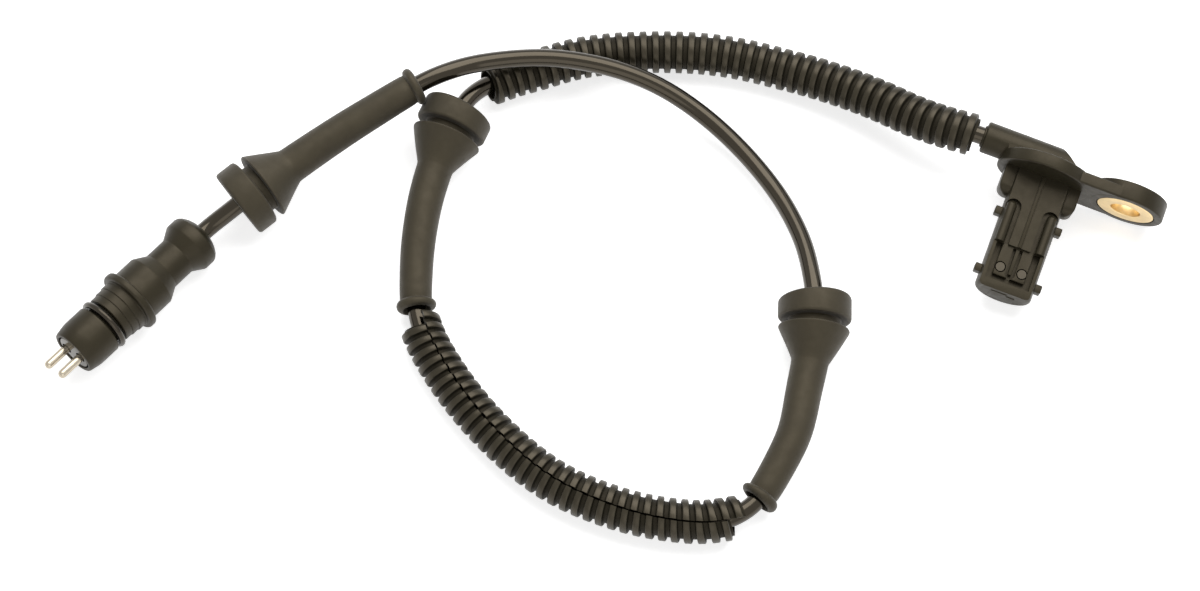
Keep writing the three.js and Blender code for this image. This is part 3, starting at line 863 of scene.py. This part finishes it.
def slide_lips(obj, length, slide):
    """Slides the slit's lips along each other, the more the nearer they are to the conduit's ends."""
    group = obj.vertex_groups.new(name="slide")
    for vertex in obj.data.vertices:
        x, y, z = vertex.co
        group.add([vertex.index], 0.5 + (x / length - 0.5) * math.atan2(z, y) / math.pi, "REPLACE")
    finish(obj, "DISPLACE", direction="X", mid_level=0, strength=2 * slide, vertex_group=group.name)
    settle(obj, Matrix.Translation((-slide, 0, 0)))
    obj.vertex_groups.clear()


def face_out(obj):
    """Turns the faces of a tube about the X axis outwards."""
    score = sum(f.normal.y * f.center.y + f.normal.z * f.center.z for f in obj.data.polygons)
    if score < 0:
        only(obj)
        bpy.ops.object.mode_set(mode="EDIT")
        bpy.ops.mesh.select_all(action="SELECT")
        bpy.ops.mesh.flip_normals()
        bpy.ops.object.mode_set(mode="OBJECT")


def conduit(start, rings, slit_angle, slit_turn, slide):
    """A split conduit: a ring of its wall repeated, slit, given its thickness and bent along the cord."""
    sizes = bpy.context.scene.sensor_sizes
    pitch, crest, trough = (v / MM for v in (sizes.conduit_pitch, sizes.conduit_crest, sizes.conduit_trough))
    obj = ring_wall(ring_section(pitch, crest, trough))
    finish(
        obj,
        "ARRAY",
        count=rings,
        use_relative_offset=False,
        use_constant_offset=True,
        constant_offset_displace=(pitch * MM, 0, 0),
        use_merge_vertices=True,
        merge_threshold=0.01 * MM,
    )
    slide_lips(obj, rings * pitch * MM, slide)
    face_out(obj)
    finish(obj, "SOLIDIFY", thickness=sizes.conduit_wall, offset=-1.0)
    # The slit starts at -Y. Seen along the cord, its angle runs from the right over the top to the left.
    settle(obj, Matrix.Rotation(-slit_angle, 4, "X"))
    for maker in (polypropylene, trough_shade_polypropylene):
        obj.data.materials.append(kept(maker))
    # Faces in the troughs, below the crests' shoulders, take the darker material as painted shade
    groove = (crest - 0.4) * MM
    for face in obj.data.polygons:
        face.material_index = int(math.hypot(face.center.y, face.center.z) < groove)
    begin = CABLE_IN_BOSS + start
    points = stretch(PATH, begin, begin + rings * sizes.conduit_pitch)
    step = points[-CONDUIT_STRAIGHT] - points[-CONDUIT_STRAIGHT - 1]
    corner = points[-CONDUIT_STRAIGHT]
    points[-CONDUIT_STRAIGHT:] = [corner + step * k for k in range(CONDUIT_STRAIGHT)]
    # The conduit hangs on the cable, and lies on its rings where the cable is low
    slack = sizes.conduit_trough - sizes.conduit_wall - sizes.cable_diameter / 2 - 0.4 * MM
    lying = sizes.conduit_crest + 0.1 * MM
    for point in points:
        point.z = max(lying, point.z - slack)
    bend_along(obj, points, tilts=(0, -slit_turn))
    return smooth(obj, 40)


class SENSOR_OT_conduits(SensorOperator, Operator):
    """Builds the two split corrugated conduits round the cable"""

    bl_idname = "sensor.conduits"
    bl_label = "Split conduits"

    def execute(self, context):
        sizes = context.scene.sensor_sizes
        long = conduit(CONDUIT_LONG_AT, sizes.rings_long, slit_angle=5.1, slit_turn=0, slide=0.4 * MM)
        dress(long, "conduit_long_rings", None, "conduit_plastic", "conduit_long")
        short = conduit(CONDUIT_SHORT_AT, sizes.rings_short, slit_angle=1.76, slit_turn=-0.6, slide=2.2 * MM)
        dress(short, "conduit_short_rings", None, "conduit_plastic", "conduit_short")
        return {"FINISHED"}


def grommet_profile(sizes):
    """Grommet from its head's face to its end bead, the outside first and then the bore."""
    head = sizes.grommet_head / MM
    sleeve = sizes.sleeve_radius / MM
    length = sizes.grommet_length / MM
    bore = sizes.cable_diameter / 2 / MM + 0.3
    thick = 6.1
    groove = 7
    cone = thick + 2.3
    rim = 9.7
    sleeve_end = 4.4
    mouth = 3.5
    outside = [
        (0.5, bore),
        (0.1, bore + 0.5),
        (0, bore + 1.2),
        (0, head - 1.2),
        *arc(0.9, head - 0.9, 0.9, 180, 90),
        *arc(thick - 0.8, head - 0.8, 0.8, 90, 0),
        (thick, groove + 0.3),
        (thick + 0.3, groove),
        (cone - 0.3, groove),
        (cone, groove + 0.3),
        (cone, rim - 0.35),
        (cone + 0.12, rim - 0.1),
        (cone + 0.4, rim),
        (cone + 0.75, rim - 0.15),
    ]
    cone_end = cone + 9.3
    for i in range(1, 6):
        share = i / 6
        outside.append((cone + 0.75 + 8.2 * share, rim - 0.15 + (sleeve + 0.25 - rim + 0.15) * share))
    outside += [(cone_end, sleeve + 0.12), (cone_end + 0.8, sleeve)]
    bead = length - 2.7
    sleeve_from, sleeve_to = cone_end + 0.8, bead - 1.2
    for i in range(1, 22):
        share = i / 22
        place = sleeve_from + (sleeve_to - sleeve_from) * share
        outside.append((place, sleeve + (sleeve_end - sleeve) * share))
    outside += [
        (bead - 0.8, 4.36),
        (bead - 0.4, 4.25),
        (bead, 4.25),
        *arc(bead + 1.3, 4.2, 1.25, 170, 15, 9),
        (length - 0.05, 3.95),
        (length - 0.35, 3.7),
        (length - 3.2, mouth),
        (length - 3.6, bore),
    ]
    inside = [(length - 3.6 + (4.1 - length) * i / 22, bore) for i in range(1, 22)]
    return outside + inside + [(0.5, bore)]


class SENSOR_OT_grommets(SensorOperator, Operator):
    """Builds one rubber grommet and bends its three copies along the cable"""

    bl_idname = "sensor.grommets"
    bl_label = "Grommets"

    def execute(self, context):
        sizes = context.scene.sensor_sizes
        pattern = turned(grommet_profile(sizes), "X", sides=64, closed=True)
        for name, head_at, facing in GROMMETS:
            copy = pattern.copy()
            copy.data = pattern.data.copy()
            context.collection.objects.link(copy)
            begin = CABLE_IN_BOSS + head_at * MM
            bend_along(copy, stretch(PATH, begin, begin + facing * sizes.grommet_length))
            smooth(copy, 40)
            dress(copy, f"rubber_grommet_{name}", kept(epdm_rubber), "moulded_rubber", f"grommet_{name}")
        bpy.data.objects.remove(pattern, do_unlink=True)
        return {"FINISHED"}


def nose_body(sizes):
    """Nose with its flat side, shoulders and lugs, in the head's own frame."""
    radius, length = sizes.nose_radius / MM, sizes.nose_length / MM
    profile = [(-length, radius - 1.4), *arc(-length + 1.2, radius - 1.2, 1.2, 180, 90, 6), (2, radius)]
    body = turned(profile, "Y", sides=96)
    cut(body, block((-12, 12), (-length - 2, 1), (3.4, 12)))
    bevel(body, 0.3, 25)
    shoulders = round_upright_corners(block((-10.85, 10.85), (-8.2, 1), (-4.2, 2.6)), -5, 3)
    join(body, bevel(shoulders, 0.35, 25))
    for y in (12.8, 29.9):
        join(body, block((-radius - 1.65, radius + 1.65), (-y - 1.15, -y + 1.15), (-1.6, 1.6), 0.3))
    return body


def nose_relief(body, sizes):
    """Grooves, window, pad, slot and rib on the flat side of the nose."""
    flat, floor, pad_top = 3.4, 0.9, 2.5
    rail_outline = [(-21.5, 1.4), (-11, 1.4), *arc(-11, 0, 1.4, 75, 5, 5)]
    for side in (-1, 1):
        near, far = sorted((side * 3.1, side * 5.2))
        cut(body, block((near, far), (-22, -11), (flat - 1.5, 12)))
        cut(body, rod(2.2, "Z", flat - 1.45, 12, (side * 5.3, -11, 0), sides=48))
        join(body, turned(rail_outline, "Y", (side * 5.8, 0, flat - 0.1), 32))
    cut(body, block((-6.3, 6.3), (-32.2, -21.5), (floor, 12)))
    pad = block((-4.5, 4.5), (-30.5, -21.3), (floor - 0.5, pad_top), 0.2)
    slot_floor = floor + 0.15
    cut(pad, rod(1.4, "Z", slot_floor, 6, (0, -29.2, 0), sides=40))
    cut(pad, block((-1.4, 1.4), (-29.2, -21.8), (slot_floor, 6)))
    join(body, pad)
    join(body, block((-0.5, 0.5), (-29.3, -21), (floor - 0.5, pad_top), 0.12))
    join(body, block((-0.5, 0.5), (-21.5, 1), (flat - 1, flat + 0.5), 0.15))
    for side in (-1, 1):
        cut(body, rod(1.55, "Z", -1, 6, (side * 3.1, -28, 0), sides=40))
    tip = -sizes.nose_length / MM
    join(body, block((-3.4, 1.2), (tip - 0.2, tip + 0.5), (-4.6, 1.6), 0.1))
    join(body, block((0.9, 3.6), (tip - 0.2, tip + 0.5), (-4.5, 0.2), 0.1))
    return body


def seat_and_boss(sizes):
    """Seat disc, strap, ear and cable boss, in the head's own frame."""
    radius = sizes.seat_radius / MM
    ear_radius = sizes.bush_radius / MM + 2.5
    edge = 0.5
    disc = turned(
        [
            (0, radius - 2),
            *arc(edge, radius - edge, edge, 180, 90),
            *arc(3.7 - edge, radius - edge, edge, 90, 0),
            (3.7, radius - 2),
        ],
        "Y",
        sides=128,
    )
    join(disc, block((0.5, 23.5), (0.04, 3.4), (-9.9, 9.9), 0.45))
    ear = turned(
        [
            (0, ear_radius - 2),
            *arc(edge, ear_radius - edge, edge, 180, 90),
            *arc(5.2 - edge, ear_radius - edge, edge, 90, 0),
            (5.2, ear_radius - 2),
        ],
        "Y",
        (EAR_REACH, 0, 0),
        sides=96,
    )
    join(disc, ear)
    boss = rod(4.4, "X", -BOSS_REACH, 10, (0, BOSS_HEIGHT, 0), 0.5, 64)
    join(boss, block((-12.1, 9.95), (0.6, 5.7), (-4.36, 4.36)))
    slope = block((-8, 24), (0, 10), (-8, 8))
    settle(slope, Matrix.Translation((2 * MM, 10.2 * MM, 0)) @ Matrix.Rotation(math.atan2(-6.8, 7.8), 4, "Z"))
    cut(boss, slope)
    join(boss, rod(3.1, "X", -BOSS_REACH - 0.5, -BOSS_REACH + 1, (0, BOSS_HEIGHT, 0), 0.25, 48))
    return join(disc, boss)


class SENSOR_OT_head(SensorOperator, Operator):
    """Builds the moulded sensor head: nose, seat disc, bolt ear and cable boss"""

    bl_idname = "sensor.head"
    bl_label = "Head"

    def execute(self, context):
        sizes = context.scene.sensor_sizes
        body = join(nose_body(sizes), seat_and_boss(sizes))
        nose_relief(body, sizes)
        cut(body, rod(sizes.bush_radius / MM + 0.25, "Y", -1, 7, (EAR_REACH, 0, 0), sides=96))
        cut(body, rod(2.8, "X", -BOSS_REACH - 2, -10.1, (0, BOSS_HEIGHT, 0), sides=48))
        smooth(body, 30)
        settle(body, HEAD)
        dress(body, "sensor_head", kept(satin_nylon), "glass_filled_nylon", "sensor_housing")
        return {"FINISHED"}


class SENSOR_OT_bush(SensorOperator, Operator):
    """Builds the brass bush in the ear"""

    bl_idname = "sensor.bush"
    bl_label = "Bush"

    def execute(self, context):
        sizes = context.scene.sensor_sizes
        outer, inner = sizes.bush_radius / MM, sizes.bolt_hole / MM
        edge = 0.25
        profile = [
            *arc(edge, outer - edge, edge, 180, 90),
            *arc(5.2 - edge, outer - edge, edge, 90, 0),
            *arc(5.2 - edge, inner + edge, edge, 0, -90),
            *arc(edge, inner + edge, edge, 270, 180),
        ]
        bush = turned([*profile, profile[0]], "Y", (EAR_REACH, 0, 0), 96, closed=True)
        settle(smooth(bush), HEAD)
        dress(bush, "brass_bush", kept(turned_brass), "brass", "mounting_bush")
        return {"FINISHED"}


class SENSOR_OT_plug(SensorOperator, Operator):
    """Builds the plug's body and its seal ring"""

    bl_idname = "sensor.plug"
    bl_label = "Plug"

    def execute(self, context):
        sizes = context.scene.sensor_sizes
        flange = sizes.flange_radius / MM
        bore = sizes.cable_diameter / 2 / MM + 0.3
        profile = [
            (0.4, bore),
            (0, bore + 0.4),
            (0, 3.7),
            (0.3, 4.9),
            (0.8, 5.9),
            (1.5, 6.9),
            (2.3, 7.55),
            (3, 7.75),
            (5.5, 7.75),
            (5.85, 7.66),
            (9.0, 5.8),
            (9.3, 5.7),
            (15.7, 5.7),
            (16, 5.8),
            (19.3, 7.62),
            (19.65, 7.75),
            (26.2, 7.75),
            (26.4, 7.95),
            *arc(27.15, flange - 0.75, 0.75, 175, 90, 6),
            *arc(28.0, flange - 0.75, 0.75, 90, 5, 6),
            (28.8, 7.75),
            (29.0, 7.55),
            (31.1, 7.55),
            (31.25, 7.45),
            (31.3, 7.3),
            (33.4, 7.3),
            (33.55, 7.2),
            (33.6, 7.05),
            (35.6, 7.05),
            (35.8, 6.85),
            (35.8, 5.6),
            (39.1, 5.6),
            (39.1, 7.05),
            (39.35, 7.3),
            (45.2, 7.3),
            (46.2, 7.2),
            (48.7, 6.72),
            (49.05, 6.55),
            (49.2, 6.3),
            (49.2, 5.75),
            (49.0, 5.5),
            (40.4, 5.5),
            (40.1, bore),
        ]
        body = turned([*profile, profile[0]], "X", sides=96, closed=True)
        settle(smooth(body, 17), PLUG)
        dress(body, "plug_shell", kept(satin_nylon), "glass_filled_nylon", "plug_body")
        ring = arc(37.45, 6.8, 0.95, 0, 360, 20)
        seal = turned(ring, "X", sides=96, closed=True)
        settle(smooth(seal, 60), PLUG)
        dress(seal, "seal_ring", kept(nitrile_rubber), "seal_rubber", "plug_seal_ring")
        return {"FINISHED"}


class SENSOR_OT_pins(SensorOperator, Operator):
    """Builds the two contact pins and the disc that carries them"""

    bl_idname = "sensor.pins"
    bl_label = "Contact pins"

    def execute(self, context):
        sizes = context.scene.sensor_sizes
        radius = sizes.pin_radius / MM
        pin_offset = 2.8
        pin_turn = 0.32
        place = PLUG @ Matrix.Rotation(pin_turn, 4, "X")
        disc = turned([(40.5, 5.1), (48.8, 5.1), *arc(48.8, 4.9, 0.2, 90, 0), (49.0, 2)], "X", sides=64)
        for side in (-1, 1):
            cut(disc, rod(radius + 0.4, "X", 39, 50, (0, side * pin_offset, 0), sides=40))
        settle(smooth(disc), place)
        dress(disc, "pin_disc", kept(polished_nylon), "glass_filled_nylon", "pin_carrier")
        for name, side in (("left", 1), ("right", -1)):
            tip = arc(56.8 - radius, 0, radius, 88, 8, 10)
            profile = [(31.4, radius * 0.9), (31.6, radius), (48, radius), *tip]
            pin = turned(profile, "X", (0, side * pin_offset, 0), 40)
            settle(smooth(pin, 40), place)
            dress(pin, f"pin_{name}", kept(nickel_plating), "nickel_plate", f"contact_pin_{name}")
        return {"FINISHED"}


class SENSOR_OT_inner_finishes(SensorOperator, Operator):
    """Gives the solids inside the head and the plug their materials"""

    bl_idname = "sensor.inner_finishes"
    bl_label = "Inner finishes"

    def execute(self, context):
        finishes = {
            "element_carrier": pbt_plastic,
            "sensing_element": package_epoxy,
            "terminal_left": tin_plating,
            "terminal_right": tin_plating,
            "head_core_upper": red_insulation,
            "head_core_lower": white_insulation,
            "plug_core_left": red_insulation,
            "plug_core_right": white_insulation,
        }
        for name, maker in finishes.items():
            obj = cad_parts[name]
            for slot in obj.material_slots:
                slot.material = kept(maker)
        return {"FINISHED"}


class SENSOR_OT_cord_facts(SensorOperator, Operator):
    bl_idname = "sensor.cord_facts"
    bl_label = "Cord facts"

    def execute(self, context):
        names = [
            "conduit_long_rings",
            "conduit_short_rings",
            "rubber_grommet_front",
            "rubber_grommet_middle",
            "rubber_grommet_rear",
            "plug_shell",
            "seal_ring",
            "pin_disc",
            "pin_left",
            "pin_right",
        ]
        on_cord = [bpy.data.objects[name] for name in names]
        on_cord += [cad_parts[name] for name in ("plug_core_left", "plug_core_right")]
        return {"FINISHED"}


WHITE = (1, 1, 1, 1)


def area_lamp(name, location, target, size, power, size_y=None):
    """A softbox that looks at a place, with its sides in metres and its power in watts."""
    bpy.ops.object.light_add(type="AREA", location=location)
    lamp = bpy.context.active_object
    lamp.name = name
    lamp.rotation_euler = (Vector(target) - Vector(location)).to_track_quat("-Z", "Y").to_euler()
    lamp.data.shape = "RECTANGLE"
    lamp.data.size = size
    lamp.data.size_y = size_y or size
    lamp.data.energy = power * bpy.context.scene.sensor_finish.light
    return lamp


class SENSOR_OT_stage(SensorOperator, Operator):
    """Adds the pale floor, the softboxes and the white surroundings"""

    bl_idname = "sensor.stage"
    bl_label = "Stage"

    def execute(self, context):
        bpy.ops.mesh.primitive_plane_add(size=6, location=(-0.1, 0, 0))
        floor = added("floor")
        material, tree = fresh("paper_sweep")
        seen = direct_look(tree)
        paper = node(tree, "ShaderNodeBsdfDiffuse", {"Color": linear("f2f2f2")}).outputs["BSDF"]
        lift = node(tree, "ShaderNodeMath", {0: seen, 1: 0.7}, operation="MULTIPLY").outputs["Value"]
        glow = node(tree, "ShaderNodeEmission", {"Color": WHITE, "Strength": lift}).outputs["Emission"]
        both = node(tree, "ShaderNodeAddShader", {0: paper, 1: glow}).outputs["Shader"]
        node(tree, "ShaderNodeOutputMaterial", {"Surface": both})
        floor.data.materials.append(material)

        area_lamp("softbox_top", (-0.1, 0.55, 1.08), (-0.1, -0.03, 0), 1.5, 17, 1.1)
        area_lamp("softbox_front", (0.3, -1.0, 0.6), (-0.1, -0.05, 0), 0.9, 2.4)

        world = bpy.data.worlds.new("white_room")
        context.scene.world = world
        world.use_nodes = True
        tree = world.node_tree
        tree.nodes.clear()
        levels = {"Value": direct_look(tree), "To Min": 0.2, "To Max": 1.0}
        level = node(tree, "ShaderNodeMapRange", levels).outputs["Result"]
        sky = node(tree, "ShaderNodeBackground", {"Color": WHITE, "Strength": level}).outputs["Background"]
        node(tree, "ShaderNodeOutputWorld", {"Surface": sky})
        context.scene.view_settings.view_transform = "Standard"
        return {"FINISHED"}


def direct_look(tree):
    """1 for camera, glossy and transmission rays, and 0 for the rays that light the object."""
    path = node(tree, "ShaderNodeLightPath").outputs
    eye = {0: path["Is Camera Ray"], 1: path["Is Glossy Ray"]}
    mirrored = node(tree, "ShaderNodeMath", eye, operation="MAXIMUM").outputs["Value"]
    through = {0: mirrored, 1: path["Is Transmission Ray"]}
    return node(tree, "ShaderNodeMath", through, operation="MAXIMUM").outputs["Value"]


STEPS = (
    SENSOR_OT_camera,
    SENSOR_OT_cable,
    SENSOR_OT_conduits,
    SENSOR_OT_grommets,
    SENSOR_OT_head,
    SENSOR_OT_bush,
    SENSOR_OT_plug,
    SENSOR_OT_pins,
    SENSOR_OT_inner_finishes,
    SENSOR_OT_cord_facts,
    SENSOR_OT_stage,
)


class SENSOR_PT_panel(Panel):
    """Lists the sensor's sizes, finishes and building steps."""

    bl_idname = "SENSOR_PT_panel"
    bl_label = "Wheel speed sensor"
    bl_space_type = "VIEW_3D"
    bl_region_type = "UI"
    bl_category = "Sensor"

    def draw(self, context):
        layout = self.layout
        for settings in (context.scene.sensor_sizes, context.scene.sensor_finish):
            box = layout.box()
            for key in settings.bl_rna.properties.keys():
                if key not in {"rna_type", "name"}:
                    box.prop(settings, key)
        for step in STEPS:
            layout.operator(step.bl_idname)


CLASSES = (SensorSizes, SensorFinish, *STEPS, SENSOR_PT_panel)


def register():
    for cls in CLASSES:
        bpy.utils.register_class(cls)
    bpy.types.Scene.sensor_sizes = PointerProperty(type=SensorSizes)
    bpy.types.Scene.sensor_finish = PointerProperty(type=SensorFinish)


def unregister():
    del bpy.types.Scene.sensor_finish
    del bpy.types.Scene.sensor_sizes
    for cls in reversed(CLASSES):
        bpy.utils.unregister_class(cls)


def main():
    register()
    for step in STEPS:
        group, name = step.bl_idname.split(".")
        getattr(getattr(bpy.ops, group), name)()


if __name__ == "__main__":
    main()
